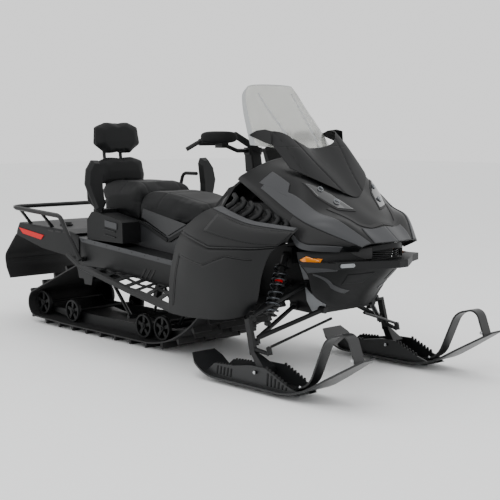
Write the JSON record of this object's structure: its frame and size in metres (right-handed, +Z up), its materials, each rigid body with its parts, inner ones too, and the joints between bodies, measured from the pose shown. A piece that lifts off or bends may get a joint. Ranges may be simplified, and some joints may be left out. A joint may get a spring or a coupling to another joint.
{
  "type": "snowmobile",
  "caption": "Touring snowmobile on one wide lugged track, with two steered skis, a clear screen, a seat for two with a backrest, a tail rack and a snow flap.",
  "frame": {"origin": "on the floor, under the middle of the machine's bounding box", "axes": "+X to the nose, +Y to the rider's left, +Z up, Z = 0 is the floor the skis and track stand on"},
  "size_m": [3.2268, 1.13, 1.438],
  "materials": {
    "belt": "moulded black rubber with lugs",
    "black_plastic": "grained black moulding",
    "panel_plastic": "satin dark moulding",
    "grey_trim": "satin grey moulding",
    "black_metal": "powder coat",
    "grey_metal": "satin grey paint",
    "bare_alloy": "brushed alloy",
    "cast_alloy": "cast alloy",
    "steel": "bright steel",
    "seat_cover": "grained vinyl cover",
    "clear_screen": "clear sheet",
    "lamp_clear": "clear cover",
    "lamp_red": "red lens",
    "lamp_amber": "amber lens",
    "grip_rubber": "ribbed rubber"
  },
  "bodies": {
    "chassis": {"track": "belt", "slide_rails": "black_metal", "bogie_wheels": "black_plastic", "rear_idlers": "black_plastic", "drive_axle": "black_plastic", "top_rollers": "black_plastic", "rear_slide_arm": "black_metal", "front_slide_arm": "black_metal", "slide_shocks": "black_metal", "tunnel": "black_metal", "edge_rails": "bare_alloy", "running_boards": "black_metal", "seat_base": "grey_trim", "seat": "seat_cover", "passenger_seat": "seat_cover", "head_pad": "seat_cover", "lumbar_pad": "seat_cover", "backrest_post": "black_metal", "right_passenger_grip": "black_plastic", "left_passenger_grip": "black_plastic", "storage_boxes": "black_plastic", "rear_deck": "black_plastic", "tail_lamps": "lamp_red", "rear_rack": "black_metal", "snow_flap": "grip_rubber", "tow_hitch": "black_metal", "bulkhead": "cast_alloy", "engine_block": "cast_alloy", "upper_arms": "black_metal", "lower_arms": "black_metal", "front_shocks": "black_metal", "hood": "panel_plastic", "nose_fascia": "black_plastic", "grille": "black_plastic", "front_bumper": "black_plastic", "belly_pan": "black_plastic", "right_side_panel": "panel_plastic", "left_side_panel": "panel_plastic", "louvre_banks": "black_plastic", "windshield": "clear_screen", "cowl": "black_plastic", "console": "black_plastic", "gauge": "black_plastic", "headlamps": "lamp_clear", "side_markers": "lamp_amber"},
    "bars": {"handlebar": "black_metal", "hand_guards": "black_plastic"},
    "right_leg": {"right_spindle": "black_metal", "right_ski": "black_plastic", "right_ski_loop": "black_plastic", "right_ski_runner": "steel"},
    "right_link": {"right_tie_rod": "steel"},
    "left_leg": {"left_spindle": "black_metal", "left_ski": "black_plastic", "left_ski_loop": "black_plastic", "left_ski_runner": "steel"},
    "left_link": {"left_tie_rod": "steel"}
  },
  "joints": [
    {"name": "handlebar_turn", "type": "hinge", "parent": "chassis", "child": "bars", "pos_m": [0.424, 0, 0.93], "axis": [-0.1392, 0, 0.9903], "range_deg": [-22, 22]},
    {"name": "right_ski_steer", "type": "hinge", "parent": "chassis", "child": "right_leg", "pos_m": [0.905, -0.448, 0.214], "axis": [-0.2419, 0, 0.9703], "range_deg": [-24.5, 24.5]},
    {"name": "right_link_turn", "type": "hinge", "parent": "right_leg", "child": "right_link", "pos_m": [1.004, -0.466, 0.196], "axis": [-0.2419, 0, 0.9703], "range_deg": [-24.5, 24.5]},
    {"name": "left_ski_steer", "type": "hinge", "parent": "chassis", "child": "left_leg", "pos_m": [0.905, 0.448, 0.214], "axis": [-0.2419, 0, 0.9703], "range_deg": [-24.5, 24.5]},
    {"name": "left_link_turn", "type": "hinge", "parent": "left_leg", "child": "left_link", "pos_m": [1.004, 0.466, 0.196], "axis": [-0.2419, 0, 0.9703], "range_deg": [-24.5, 24.5]}
  ],
  "couplings": [
    {"joint": "right_ski_steer", "follows": "handlebar_turn", "ratio": 1.1},
    {"joint": "right_link_turn", "follows": "handlebar_turn", "ratio": -1.1},
    {"joint": "left_ski_steer", "follows": "handlebar_turn", "ratio": 1.1},
    {"joint": "left_link_turn", "follows": "handlebar_turn", "ratio": -1.1}
  ]
}
